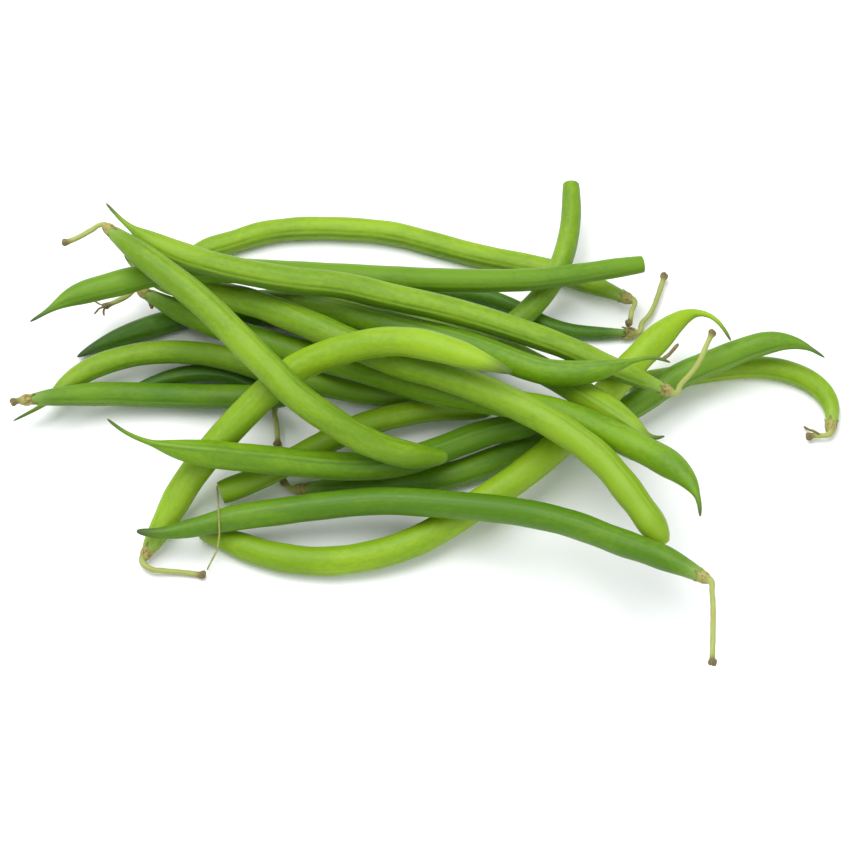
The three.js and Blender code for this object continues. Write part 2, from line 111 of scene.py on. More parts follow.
PODS = (
    PodSpec("right_bent", End.NECK, End.BLUNT, Green.LIME, 75, 0.8, stalk=True),
    PodSpec("right_long", End.NECK, End.BEAK, Green.DEEP, 74, stalk=True, lights=(-0.2, 0.3, 0.7)),
    PodSpec("left_rear", End.NECK, End.POINT, Green.DARK, 72, 0.8),
    PodSpec("right_thin", End.NECK, End.BEAK, Green.DARK, 60, 0.4, stalk=True),
    PodSpec("rear_arch", End.NECK, End.BLUNT, Green.LIME, 54, stalk=True, painted_shade_below_seam=0.25),
    PodSpec("small", End.NECK, End.POINT, Green.DARK, 30, 0.8, stalk=True, lights=(-0.8, -0.8, -0.8)),
    PodSpec("upright", End.CUT, End.BLUNT, Green.FRESH, 95, 0.6, lights=(-0.2, -0.2, -0.2)),
    PodSpec("sweep", End.NECK, End.BEAK, Green.LIME, 96, 0.7, lights=(-0.5, 0.3, 0.9)),
    PodSpec("low_right", End.BLUNT, End.BEAK, Green.FRESH, 30, 0.7, lights=(-0.8, -0.3, 0.9)),
    PodSpec("left_arch", End.BLUNT, End.BEAK, Green.FRESH, 84, 0.6, lights=(-1.0, -0.2, 0.0)),
    PodSpec("left_flat", End.NECK, End.BLUNT, Green.DEEP, 66, 0.9, stalk=True, painted_shade_below_seam=0.4),
    PodSpec("curl", End.NECK, End.BEAK, Green.MID, -12, 0.8),
    PodSpec("crossbar", End.CUT, End.BEAK, Green.DEEP, 62, 0.6, lights=(0.8, 0.8, 0.4)),
    PodSpec(
        "back_diagonal", End.NECK, End.BEAK, Green.FRESH, 60, 1.1,
        stalk=True, lights=(0.2, 0.4, 0.1), painted_shade_below_seam=1.0,
    ),
    PodSpec("cut_end", End.CUT, End.BLUNT, Green.LIME, 80, 0.5, lights=(-0.7, -0.8, -0.8)),
    PodSpec("hooked", End.NECK, End.BEAK, Green.MID, 98, 0.6, stalk=True, lights=(0.1, 0.4, 0.1)),
    PodSpec("left_beak", End.BLUNT, End.BEAK, Green.MID, 8, 0.9, lights=(-1.0, 0.0, 0.2)),
    PodSpec("long_diagonal", End.BLUNT, End.BEAK, Green.FRESH, -22, 0.5, lights=(1.1, 0.0, -0.1)),
    PodSpec("arch", End.NECK, End.POINT, Green.LIME, 100, 0.5, stalk=True),
    PodSpec("front", End.NECK, End.POINT, Green.DEEP, 6, 0.35, stalk=True, lights=(-0.5, -0.5, -0.1)),
    PodSpec("top_diagonal", End.NECK, End.TORN, Green.FRESH, -30, 0.6, stalk=True),
)


def only(piece: bpy.types.Object) -> None:
    """Selects one object and nothing else, and makes it the active one."""
    bpy.ops.object.select_all(action="DESELECT")
    piece.select_set(True)
    bpy.context.view_layer.objects.active = piece


def apply_modifier(piece: bpy.types.Object, kind: str, **settings: object) -> None:
    """Adds a modifier to a piece and applies it.

    Args:
        piece: The mesh object.
        kind: The modifier's type, such as SUBSURF.
        settings: The modifier's properties.
    """
    only(piece)
    modifier = piece.modifiers.new(kind.lower(), kind)
    for name, value in settings.items():
        setattr(modifier, name, value)
    bpy.ops.object.modifier_apply(modifier=modifier.name)


def reshape(piece: bpy.types.Object, change: Callable[[], object]) -> None:
    """Makes a change in edit mode to the whole of a piece."""
    only(piece)
    bpy.ops.object.mode_set(mode="EDIT")
    bpy.ops.mesh.select_all(action="SELECT")
    change()
    bpy.ops.object.mode_set(mode="OBJECT")


def subdivide(piece: bpy.types.Object, levels: int) -> None:
    """Rounds a piece off with an applied subdivision surface."""
    apply_modifier(piece, "SUBSURF", levels=levels, render_levels=levels)


class Route:
    """A middle line with a radius at each of its points."""

    def __init__(self, points: np.ndarray, radii: np.ndarray) -> None:
        """Keeps the points and the radii."""
        self.points = points
        self.radii = radii

    @classmethod
    def of_solid(cls, node: str, sides: int) -> "Route":
        """Reads the middle line of a swept solid of the frame back from its rings.

        Args:
            node: The name of the solid.
            sides: How many corners each of its rings has.

        Returns:
            The route.
        """
        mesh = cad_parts[node].data
        corners = np.empty(len(mesh.vertices) * 3)
        mesh.vertices.foreach_get("co", corners)
        places, same = np.unique(np.round(corners.reshape(-1, 3), 6), axis=0, return_inverse=True)
        same = same.reshape(-1)
        around: list[set[int]] = [set() for _ in places]
        for face in mesh.polygons:
            ring = [int(same[i]) for i in face.vertices]
            for one in ring:
                around[one].update(other for other in ring if other != one)
        rings = cls._rings(around, sides)
        points = np.array([places[ring].mean(axis=0) for ring in rings])
        spread = [np.linalg.norm(places[ring] - centre, axis=1) for ring, centre in zip(rings, points)]
        return cls(points, np.array([distances.mean() for distances in spread]))

    @staticmethod
    def _rings(around: list[set[int]], sides: int) -> list[list[int]]:
        """Walks the solid from one end to the other.

        Args:
            around: The corners next to each corner.
            sides: How many corners each ring has.

        Returns:
            The corners of each ring, in order along the solid.
        """
        for start, beside in enumerate(around):
            if len(beside) != sides:
                continue
            seen = {start}
            rings: list[list[int]] = []
            edge = sorted(beside)
            while edge:
                rings.append(edge)
                seen.update(edge)
                edge = sorted({n for corner in edge for n in around[corner]} - seen)
            if len(rings[-1]) == 1 and all(len(ring) == sides for ring in rings[:-1]):
                return rings[:-1]
        raise ValueError("a solid isn't made of rings")

    def turned(self) -> "Route":
        """Runs the route the other way."""
        self.points = self.points[::-1]
        self.radii = self.radii[::-1]
        return self

    def starting_near(self, place: np.ndarray) -> "Route":
        """Runs the route so that it starts at its end nearer to a place."""
        first, last = (np.linalg.norm(self.points[i] - place) for i in (0, -1))
        return self if first <= last else self.turned()

    @property
    def along(self) -> np.ndarray:
        """The distance of each ring from the start."""
        steps = np.linalg.norm(np.diff(self.points, axis=0), axis=1)
        return np.concatenate([[0.0], np.cumsum(steps)])

    def curve(self, name: str) -> bpy.types.Object:
        """Makes a smooth curve through the rings' centres, for a piece to be laid along."""
        data = bpy.data.curves.new(name, "CURVE")
        data.dimensions = "3D"
        data.twist_mode = "Z_UP"
        data.resolution_u = 8
        spline = data.splines.new("BEZIER")
        spline.bezier_points.add(len(self.points) - 1)
        for knot, place in zip(spline.bezier_points, self.points):
            knot.co = place
            knot.handle_left_type = knot.handle_right_type = "AUTO"
        made = bpy.data.objects.new(name, data)
        bpy.context.scene.collection.objects.link(made)
        return made


class Sweep:
    """A straight body along +X, extruded ring by ring from a disc, and then laid along a route."""

    def __init__(self, name: str, sides: int) -> None:
        """Names the body and says how many corners its rings have."""
        self.name = name
        self.sides = sides

    def extrude(self, along: Sequence[float], radii: Sequence[float], seam: float = 0.0) -> bpy.types.Object:
        """Extrudes the body.

        Args:
            along: The rings' places on the X axis.
            radii: The rings' radii.
            seam: How far the corner at +Y stands out, over the radius.

        Returns:
            The new mesh object.
        """
        bpy.ops.object.select_all(action="DESELECT")
        bpy.ops.mesh.primitive_circle_add(
            vertices=self.sides, radius=radii[0], fill_type="NGON", rotation=(math.pi / 2, 0, math.pi / 2),
            location=(along[0], 0, 0),
        )
        piece = bpy.context.active_object
        piece.name = piece.data.name = self.name
        bpy.ops.object.transform_apply(location=True, rotation=True, scale=True)
        self._raise_seam(piece, seam * radii[0])
        bpy.ops.object.mode_set(mode="EDIT")
        bpy.ops.mesh.select_mode(type="FACE")
        bpy.ops.mesh.select_all(action="SELECT")
        for before, after, small, large in zip(along, along[1:], radii, radii[1:]):
            bpy.ops.mesh.extrude_region_move(TRANSFORM_OT_translate={"value": (after - before, 0, 0)})
            ratio = large / small
            bpy.ops.transform.resize(value=(1, ratio, ratio), center_override=(after, 0, 0))
        bpy.ops.mesh.select_all(action="SELECT")
        bpy.ops.mesh.normals_make_consistent(inside=False)
        bpy.ops.object.mode_set(mode="OBJECT")
        return piece

    @staticmethod
    def _raise_seam(piece: bpy.types.Object, rise: float) -> None:
        """Pulls the disc's corner at +Y out, so that every ring extruded from it has a ridge there."""
        only(piece)
        bpy.ops.object.mode_set(mode="EDIT")
        bpy.ops.mesh.select_mode(type="VERT")
        bpy.ops.mesh.select_all(action="DESELECT")
        bpy.ops.object.mode_set(mode="OBJECT")
        max(piece.data.vertices, key=lambda v: v.co.y).select = True
        bpy.ops.object.mode_set(mode="EDIT")
        bpy.ops.transform.translate(value=(0, rise, 0))
        bpy.ops.object.mode_set(mode="OBJECT")

    @staticmethod
    def lay(piece: bpy.types.Object, route: Route) -> None:
        """Bends a straight body along a route and leaves its object at the origin.

        Args:
            piece: The straight body, on the X axis from 0 to the route's length.
            route: The middle line that it follows.
        """
        curve = route.curve(f"{piece.name}_line")
        stretch = curve.data.splines[0].calc_length() / route.along[-1]
        reshape(piece, lambda: bpy.ops.transform.resize(value=(stretch, 1, 1), center_override=(0, 0, 0)))
        apply_modifier(piece, "CURVE", object=curve, deform_axis="POS_X")
        bpy.data.objects.remove(curve, do_unlink=True)
        only(piece)
        bpy.ops.object.shade_smooth()


def ease(value: np.ndarray | float) -> np.ndarray | float:
    """A smooth step from 0 to 1."""
    value = np.clip(value, 0, 1)
    return value * value * (3 - 2 * value)


def store(piece: bpy.types.Object, name: str, values: np.ndarray) -> None:
    """Keeps a vector for every vertex of a piece as an attribute."""
    kept = piece.data.attributes.new(name, "FLOAT_VECTOR", "POINT")
    kept.data.foreach_set("vector", np.ascontiguousarray(values, dtype=np.float32).ravel())


def places_of(piece: bpy.types.Object) -> np.ndarray:
    """The places of a piece's vertices, one row each."""
    flat = np.empty(len(piece.data.vertices) * 3)
    piece.data.vertices.foreach_get("co", flat)
    return flat.reshape(-1, 3)


def store_straight(piece: bpy.types.Object, places: np.ndarray, rng: np.random.Generator) -> None:
    """Keeps each vertex's place on the straight body, shifted so that no two pieces have the same pattern."""
    shift = np.array([rng.uniform(-PATTERN_SHIFT, PATTERN_SHIFT), 0, 0])
    store(piece, STRAIGHT, places / MM + shift)


Ring = tuple[float, float]  # its place along the body, and its radius

# The rings that close an end: the place from that end, and the radius over that of the pod, cap or pedicel.
CUT_RIM: tuple[Ring, ...] = ((0.0, 0.9), (0.06 * MM, 0.985), (0.25 * MM, 1.0))
SOFT_STEM: tuple[Ring, ...] = ((0.0, 0.55), (0.25 * MM, 0.85), (0.8 * MM, 1.0))
DOME: tuple[Ring, ...] = ((0.5, 0.94), (0.12, 0.7), (0.0, 0.35))  # its places are over the radius too
POINTED_TIP = 0.6  # the radius of a pointed end's last ring, over the last radius
CALYX_CAP: tuple[Ring, ...] = ((0.5 * MM, 1.0), (1.3 * MM, 1.04), (2.1 * MM, 0.86))
TORN_KNOB: tuple[Ring, ...] = ((1.0 * MM, 1.6), (0.35 * MM, 1.5), (0.0, 0.8))


@dataclass
class Pod:
    """A bean pod: a fleshy tube with a neck, swellings over its seeds, a seam and a beak or a cut end."""

    spec: PodSpec
    seed: int
    sides: int = 16
    solid_sides: int = 8
    ring_step: float = 3.2 * MM
    crowding: float = 0.55  # how much closer the rings are near the ends
    stem_gap: float = 0.6 * MM  # the least distance from the end rings to the next one
    tip_gap: float = 0.4 * MM
    seam_rise: float = 0.055  # over the radius
    flatness: float = 0.94  # the height of the section over its width
    roundness: float = 0.951  # what rounding off and flattening leave of a ring's radius
    seed_pitch: float = 11.5 * MM
    seed_swell: float = 0.03  # over the radius
    swell_range: tuple[float, float] = (0.4, 1.2)  # how strongly the seeds show, from pod to pod
    seedless_stem: float = 20 * MM  # over this length from the stem end the swellings grow to their full size
    seedless_tip: float = 24 * MM
    dark_beak: float = 9 * MM
    pale_neck: float = 7 * MM
    torn_tip: float = 2.5 * MM
    torn_paleness: float = 0.8
    cut_face: float = 0.1 * MM  # what lies nearer to the stem end than this is cut flesh
    cut_rim: float = 1 * MM  # the cut face's radius is the largest one found up to here
    cut_edge: float = 0.4  # how green the edge of the cut face is
    seam_fade_stem: float = 12 * MM
    seam_fade_tip: float = 6 * MM
    shade_edge: float = 1.3 * MM  # how far below the seam the painted shade is fully dark
    piece: bpy.types.Object = field(init=False)
    seam_turn: float = field(init=False)
    downwards: int = field(init=False)  # the sign of Z on the straight pod's side that ends up below the seam

    @property
    def node(self) -> str:
        """The name of the solid that the pod stands for."""
        return f"{self.spec.name}_pod"

    def route(self) -> Route:
        """The middle line of the pod's solid, from the stem end to the tip."""
        route = Route.of_solid(self.node, self.solid_sides)
        if self.spec.stalk:
            low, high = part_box(f"{self.spec.name}_stalk")
            return route.starting_near((np.array(low) + np.array(high)) / 2)
        return route if route.radii[0] >= route.radii[-1] else route.turned()

    def build(self) -> bpy.types.Object:
        """Models the pod straight, rounds it off, marks its ends and lays it along its route."""
        rng = np.random.default_rng(self.seed)
        route = self.route()
        length = route.along[-1]
        share = np.linspace(0, 1, int(length / self.ring_step) + 1)
        along = length * (share - self.crowding * np.sin(2 * math.pi * share) / (2 * math.pi))
        radii = np.interp(along, route.along, route.radii) / self.roundness
        swell = np.sin(2 * math.pi * along / self.seed_pitch + rng.uniform(0, 2 * math.pi))
        middle = ease(along / self.seedless_stem) * ease((length - along) / self.seedless_tip)
        radii = radii * (1 + self.seed_swell * swell * middle * rng.uniform(*self.swell_range))
        along, radii = self._ends(along, radii)
        self.downwards = 1 if route.points[-1][0] > route.points[0][0] else -1
        self.seam_turn = 90 + self.downwards * self.spec.seam
        rise = self.seam_rise * min(1.0, self.spec.seam_strength)
        self.piece = Sweep(self.spec.name, self.sides).extrude(list(along), list(radii), rise)
        subdivide(self.piece, 2)
        self._mark(length, rng)
        self._turn()
        Sweep.lay(self.piece, route)
        return self.piece

    def _ends(self, along: np.ndarray, radii: np.ndarray) -> tuple[np.ndarray, np.ndarray]:
        """Adds the rings that close each end: a crisp rim on a cut, a soft dome elsewhere.

        Args:
            along: The rings' places.
            radii: The rings' radii.

        Returns:
            The places and the radii with the end rings.
        """
        length = along[-1]
        first, last = radii[0], radii[-1]
        start = [(x, first * share) for x, share in (CUT_RIM if self.spec.stem is End.CUT else SOFT_STEM)]
        if self.spec.tip in (End.BLUNT, End.TORN):
            finish = [(length - last * x, last * share) for x, share in DOME]
        else:
            finish = [(length, last * POINTED_TIP)]
        inside = (along > start[-1][0] + self.stem_gap) & (along < finish[0][0] - self.tip_gap)
        rows = start + list(zip(along[inside], radii[inside])) + finish
        places, sizes = zip(*rows)
        return np.array(places), np.array(sizes)

    def _mark(self, length: float, rng: np.random.Generator) -> None:
        """Stores where the skin is pale, dark or cut, each vertex's place on the straight pod, and the seam's
        strength with the painted light and shade.
        """
        places = places_of(self.piece)
        x = places[:, 0]
        across = np.hypot(places[:, 1], places[:, 2])
        pale = (1 - ease(x / self.pale_neck)) if self.spec.stem is End.NECK else np.zeros_like(x)
        beaked = self.spec.tip in (End.BEAK, End.POINT)
        dark = (1 - ease((length - x) / self.dark_beak)) if beaked else np.zeros_like(x)
        if self.spec.tip is End.TORN:
            pale = pale + self.torn_paleness * (1 - ease((length - x) / self.torn_tip))
        cut = np.zeros_like(x)
        if self.spec.stem is End.CUT:
            rim = across.max(where=x < self.cut_rim, initial=0)
            green_edge = self.cut_edge * ease(across / rim * 4 - 3)  # over the outer quarter of the face
            cut = np.where(x < self.cut_face, 1.0, 0.0) * (1 - green_edge)
        store(self.piece, MARKS, np.stack([pale, dark, cut], axis=1))
        store_straight(self.piece, places, rng)
        fade = ease(x / self.seam_fade_stem) * ease((length - x) / self.seam_fade_tip)
        # painted light and shade along the pod: lighter where it lies in light, darker where it lies in shade
        light = np.interp(x / length, LIGHT_PLACES, self.spec.lights)
        # painted shade on the pod's lower side, below the seam
        below = self.spec.painted_shade_below_seam * ease(self.downwards * places[:, 2] / self.shade_edge)
        store(self.piece, SEAM_AND_PAINTED_LIGHT, np.stack([fade * self.spec.seam_strength, light, below], axis=1))

    def _turn(self) -> None:
        """Turns the seam round to its place and flattens the section a little."""
        angle = math.radians(self.seam_turn)
        centre = (0, 0, 0)
        reshape(
            self.piece,
            lambda: bpy.ops.transform.rotate(value=-angle, orient_axis="X", center_override=centre),
        )
        reshape(
            self.piece,
            lambda: bpy.ops.transform.resize(value=(1, 1, self.flatness), center_override=centre),
        )


@dataclass
class Stalk:
    """A calyx cap with its small lobes, the thin pedicel, and the torn knob at its end."""

    pod: Pod
    seed: int
    sides: int = 12
    solid_sides: int = 6
    ring_step: float = 1.1 * MM
    fewest_rings: int = 10
    overlap: float = 0.9 * MM  # how far the cap reaches over the pod's neck
    thin: float = 0.68 * MM  # the pedicel's radius
    pedicel_start: float = 3.6 * MM
    pedicel_end: float = 2 * MM  # before the end of the stalk
    unevenness: tuple[float, float] = (0.93, 1.1)  # of the pedicel's radius
    knob_start: float = 1.7 * MM  # before the end of the stalk
    knob_gap: float = 0.3 * MM
    knob_neck: float = 1.05  # over the pedicel's radius
    rim_flare: float = 1.06  # the cap's rim over the pod's neck
    rim_faces: tuple[float, float] = (0.1 * MM, 0.4 * MM)  # where the middles of the rim's faces lie
    cap: float = 1.62 * MM  # the calyx cap's radius
    cap_end: float = 2.9 * MM
    cap_narrow: float = 1.35  # the radius where the cap ends, over the pedicel's
    lobe: float = 1.6 * MM
    lobe_range: tuple[float, float] = (0.5, 1.25)  # how long the lobes are, over that
    lobe_lean: float = 0.22 * MM  # outwards, at each of a lobe's two steps
    lobe_taper: tuple[float, float] = (0.75, 0.4)
    torn: float = 0.4 * MM  # how far the corners of the knob are moved at most
    torn_end: float = 1.2 * MM  # before the end of the stalk, as is the brown's start
    brown_end: float = 3.2 * MM
    brown_fade: float = 2.2 * MM
    calyx_end: float = 1.8 * MM  # from here on the tan of the calyx fades out
    calyx_fade: float = 1.6 * MM
    lobe_points: float = 0.6 * MM  # from this distance before the rim to their tips the lobes are dark
    lobe_fade: float = 1.1 * MM
    piece: bpy.types.Object = field(init=False)

    @property
    def node(self) -> str:
        """The name of the solid that the stalk stands for."""
        return f"{self.pod.spec.name}_stalk"

    def build(self) -> bpy.types.Object:
        """Models the stalk straight, with its lobes, and lays it along its route."""
        rng = np.random.default_rng(self.seed)
        neck = self.pod.route()
        route = Route.of_solid(self.node, self.solid_sides).starting_near(neck.points[0])
        inwards = neck.points[1] - neck.points[0]
        root = neck.points[0] + inwards / np.linalg.norm(inwards) * self.overlap
        route.points = np.vstack([root, route.points])
        route.radii = np.concatenate([[neck.radii[0]], route.radii])
        length = route.along[-1]
        places, sizes = zip(*self._rings(length, neck.radii[0], rng))
        self.piece = Sweep(self.node, self.sides).extrude(list(places), list(sizes))
        self._lobes(rng)
        self._crumple(length)
        subdivide(self.piece, 2)
        straight = places_of(self.piece)
        x = straight[:, 0]
        brown = ease((x - (length - self.brown_end)) / self.brown_fade)
        calyx = 1 - ease((x - self.calyx_end) / self.calyx_fade)
        edge = 1 - ease((x + self.lobe_points) / self.lobe_fade)
        store(self.piece, MARKS, np.stack([calyx, brown, edge], axis=1))
        store_straight(self.piece, straight, rng)
        Sweep.lay(self.piece, route)
        return self.piece

    def _rings(self, length: float, neck: float, rng: np.random.Generator) -> list[Ring]:
        """Works out the stalk's outline: the cap, the uneven pedicel and the knob.

        Args:
            length: The stalk's length.
            neck: The radius of the pod's neck, which the cap's rim fits round.
            rng: Draws how uneven the pedicel is.

        Returns:
            The place and the radius of each ring.
        """
        count = max(self.fewest_rings, int(length / self.ring_step))
        rows = [(0.0, neck * self.rim_flare)]
        rows += [(x, self.cap * share) for x, share in CALYX_CAP]
        rows.append((self.cap_end, self.thin * self.cap_narrow))
        start, finish = self.pedicel_start, length - self.pedicel_end
        uneven = zip(np.linspace(0, length, count), rng.uniform(*self.unevenness, count))
        rows += [(x, self.thin * share) for x, share in uneven if start < x < finish]
        knob = max(rows[-1][0] + self.knob_gap, length - self.knob_start)
        rows.append((knob, self.thin * self.knob_neck))
        return rows + [(length - x, self.thin * share) for x, share in TORN_KNOB]

    def _lobes(self, rng: np.random.Generator) -> None:
        """Draws every third face of the cap's rim out into a small pointed lobe that hugs the neck."""
        near, far = self.rim_faces
        quads = [face for face in self.piece.data.polygons if len(face.vertices) == 4]
        rim = [face.center.copy() for face in quads if near < face.center.x < far]
        rim.sort(key=lambda place: math.atan2(place.z, place.y))
        for place in rim[::3]:
            self._draw_out(place, self.lobe * rng.uniform(*self.lobe_range))

    def _crumple(self, length: float) -> None:
        """Roughens the torn knob at the end, so that no two are alike."""
        only(self.piece)
        bpy.ops.object.mode_set(mode="EDIT")
        bpy.ops.mesh.select_mode(type="VERT")
        bpy.ops.mesh.select_all(action="DESELECT")
        bpy.ops.object.mode_set(mode="OBJECT")
        for corner in self.piece.data.vertices:
            corner.select = corner.co.x > length - self.torn_end
        bpy.ops.object.mode_set(mode="EDIT")
        bpy.ops.transform.vertex_random(offset=self.torn, uniform=1.0, normal=0.0, seed=self.seed)
        bpy.ops.object.mode_set(mode="OBJECT")

    def _draw_out(self, place: Vector, length: float) -> None:
        """Extrudes one face of the rim towards the pod in two narrowing steps."""
        only(self.piece)
        bpy.ops.object.mode_set(mode="EDIT")
        bpy.ops.mesh.select_mode(type="FACE")
        bpy.ops.mesh.select_all(action="DESELECT")
        bpy.ops.object.mode_set(mode="OBJECT")
        min(self.piece.data.polygons, key=lambda f: (f.center - place).length).select = True
        bpy.ops.object.mode_set(mode="EDIT")
        outwards = Vector((0, place.y, place.z)).normalized()
        step = Vector((-length * 0.5, 0, 0)) + outwards * self.lobe_lean
        for narrowed in self.lobe_taper:
            place = place + step
            bpy.ops.mesh.extrude_region_move(TRANSFORM_OT_translate={"value": tuple(step)})
            bpy.ops.transform.resize(value=(narrowed,) * 3, center_override=tuple(place))
        bpy.ops.object.mode_set(mode="OBJECT")


@dataclass(frozen=True)
class Sight:
    """The line of sight of the photograph, from the camera to the middle of the picture."""

    elevation: float = 60.0  # degrees above the table
    distance: float = 1.1
    target: tuple[float, float, float] = (-0.000205, 0.005217, 0.010)  # what is in the middle of the picture

    @property
    def away(self) -> Vector:
        """The direction from the heap to the viewer."""
        rise = math.radians(self.elevation)
        return Vector((0, -math.cos(rise), math.sin(rise)))

    @property
    def viewer(self) -> Vector:
        """Where the viewer is."""
        return Vector(self.target) + self.away * self.distance

    def towards(self, across: float, rise: float) -> Vector:
        """The direction in which the viewer sees a place on the plane that faces them."""
        upwards = Vector((0, self.away.z, -self.away.y))
        place = Vector(self.target) + Vector((across, 0, 0)) + upwards * rise
        return (place - self.viewer).normalized()

    def surface(self, across: float, rise: float) -> Vector:
        """Finds the point of the scene that the viewer sees at a place on the plane that faces them."""
        view = self.towards(across, rise)
        return bpy.context.scene.ray_cast(bpy.context.evaluated_depsgraph_get(), self.viewer, view)[1]

    def at(self, across: float, rise: float, height: float) -> Vector:
        """Finds the point at a height above the table that the viewer sees at a place on their plane."""
        view = self.towards(across, rise)
        return self.viewer + view * ((height - self.viewer.z) / view.z)


@dataclass(frozen=True)
class Strand:
    """A thin dried strand that lies over the heap, placed by where the viewer sees it."""

    name: str
    places: tuple[tuple[float, float], ...]  # across and up, in mm, on the plane that faces the viewer
    radius: float
    brown: float  # from 0 to 1, as is the tan
    height: float | None = None  # above the table, for a strand that doesn't lie on what is seen there
    lift: float = 0.45 * MM  # from what it lies on to its middle line
    sides: int = 8
    ring_step: float = 0.9 * MM
    tautening: int = 400  # how often its heights are evened out
    unevenness: tuple[float, float] = (0.85, 1.15)
    tapered: float = 0.5  # the last ring over its full radius
    tan: float = 0.5

    def route(self, sight: Sight) -> Route:
        """Drapes the strand tautly over what the viewer sees at its places, or keeps it at its height."""
        corners = np.array(self.places) * MM
        walked = np.concatenate([[0.0], np.cumsum(np.linalg.norm(np.diff(corners, axis=0), axis=1))])
        steps = np.linspace(0, walked[-1], int(walked[-1] / self.ring_step) + 1)
        across, rise = (np.interp(steps, walked, corners[:, axis]) for axis in (0, 1))
        if self.height is None:
            ground = np.array([sight.surface(*place).z + self.lift for place in zip(across, rise)])
        else:
            ground = np.full(len(steps), self.height)
        heights = ground.copy()
        for _ in range(self.tautening):
            heights[1:-1] = np.maximum(ground[1:-1], (heights[:-2] + heights[2:]) / 2)
        points = np.array([sight.at(*place) for place in zip(across, rise, heights)])
        return Route(points, np.full(len(points), self.radius))

    def build(self, sight: Sight, seed: int) -> bpy.types.Object:
        """Models the strand straight and lays it along its route."""
        rng = np.random.default_rng(seed)
        route = self.route(sight)
        length = route.along[-1]
        along = np.linspace(0, length, int(length / self.ring_step) + 2)
        radii = self.radius * rng.uniform(*self.unevenness, len(along))
        radii[-1] *= self.tapered
        piece = Sweep(self.name, self.sides).extrude(list(along), list(radii))
        subdivide(piece, 1)
        straight = places_of(piece)
        store(piece, MARKS, np.tile([self.tan, self.brown, 0.0], (len(straight), 1)))
        store_straight(piece, straight, rng)
        Sweep.lay(piece, route)
        return piece


TORN_END = (-79.8, 29.7)  # where the hooked pod's stalk ends, on the plane that faces the viewer, in mm
FIBRE_HEIGHT = 7.6 * MM

STRANDS = (
    Strand(
        "dried_thread",
        ((-52, -15.2), (-51.6, -20.4), (-51.5, -23.8), (-51.4, -27.6), (-52, -31.4), (-54.6, -36.4)),
        0.24 * MM,
        0.0,
    ),
    Strand("side_shoot", ((98.6, -2.3), (97.2, -1.5), (95.8, -1.1), (94.6, -0.3)), 0.36 * MM, 0.8),
    Strand("torn_fibre_left", (TORN_END, (-81.4, 29.2), (-82.8, 27.6)), 0.3 * MM, 0.9, FIBRE_HEIGHT),
    Strand("torn_fibre_upper", (TORN_END, (-81.4, 30.2), (-82.9, 31.2)), 0.26 * MM, 0.8, FIBRE_HEIGHT),
    Strand("torn_fibre_lower", (TORN_END, (-80.4, 28.4), (-80.2, 27.2)), 0.3 * MM, 1.0, FIBRE_HEIGHT),
    Strand("brown_stub", ((-69.6, 33), (-69, 31.4), (-68.4, 30), (-68.3, 29)), 0.62 * MM, 1.0, 7.8 * MM),
    Strand("dry_beak", ((59.2, 16.3), (61, 17.6), (62.4, 19.2), (63.4, 20.4)), 0.5 * MM, 0.9, 31.1 * MM),
)

NOISE_ROUGHNESS = 0.55
MIX_FACTOR, MIX_FIRST, MIX_SECOND, MIX_RESULT = 0, 6, 7, 2  # a Mix node's sockets when it mixes colours


class Number:
    """A shader number that can be used in Python sums."""

    def __init__(self, shader: "Shader", socket: bpy.types.NodeSocket) -> None:
        """Wraps a node's output."""
        self.shader = shader
        self.socket = socket

    def _sum(self, operation: str, first: object, second: object) -> "Number":
        """Adds one Math node for an operation on two values."""
        made = self.shader.node("ShaderNodeMath", {"operation": operation}, {0: first, 1: second})
        return Number(self.shader, made.outputs[0])

    def __add__(self, other: object) -> "Number":
        """The sum with another value."""
        return self._sum("ADD", self, other)

    __radd__ = __add__

    def __sub__(self, other: object) -> "Number":
        """The difference to another value."""
        return self._sum("SUBTRACT", self, other)

    def __rsub__(self, other: object) -> "Number":
        """Another value less this one."""
        return self._sum("SUBTRACT", other, self)

    def __mul__(self, other: object) -> "Number":
        """The product with another value."""
        return self._sum("MULTIPLY", self, other)

    __rmul__ = __mul__

    def __abs__(self) -> "Number":
        """The value without its sign."""
        return self._sum("ABSOLUTE", self, 0.0)

    def at_least(self, other: object) -> "Number":
        """The larger of this and another value."""
        return self._sum("MAXIMUM", self, other)

    def step(self, low: float, high: float) -> "Number":
        """Maps the value smoothly from 0 at low to 1 at high."""
        made = self.shader.node(
            "ShaderNodeMapRange",
            {"interpolation_type": "SMOOTHSTEP"},
            {"Value": self, "From Min": low, "From Max": high, "To Min": 0.0, "To Max": 1.0},
        )
        return Number(self.shader, made.outputs["Result"])


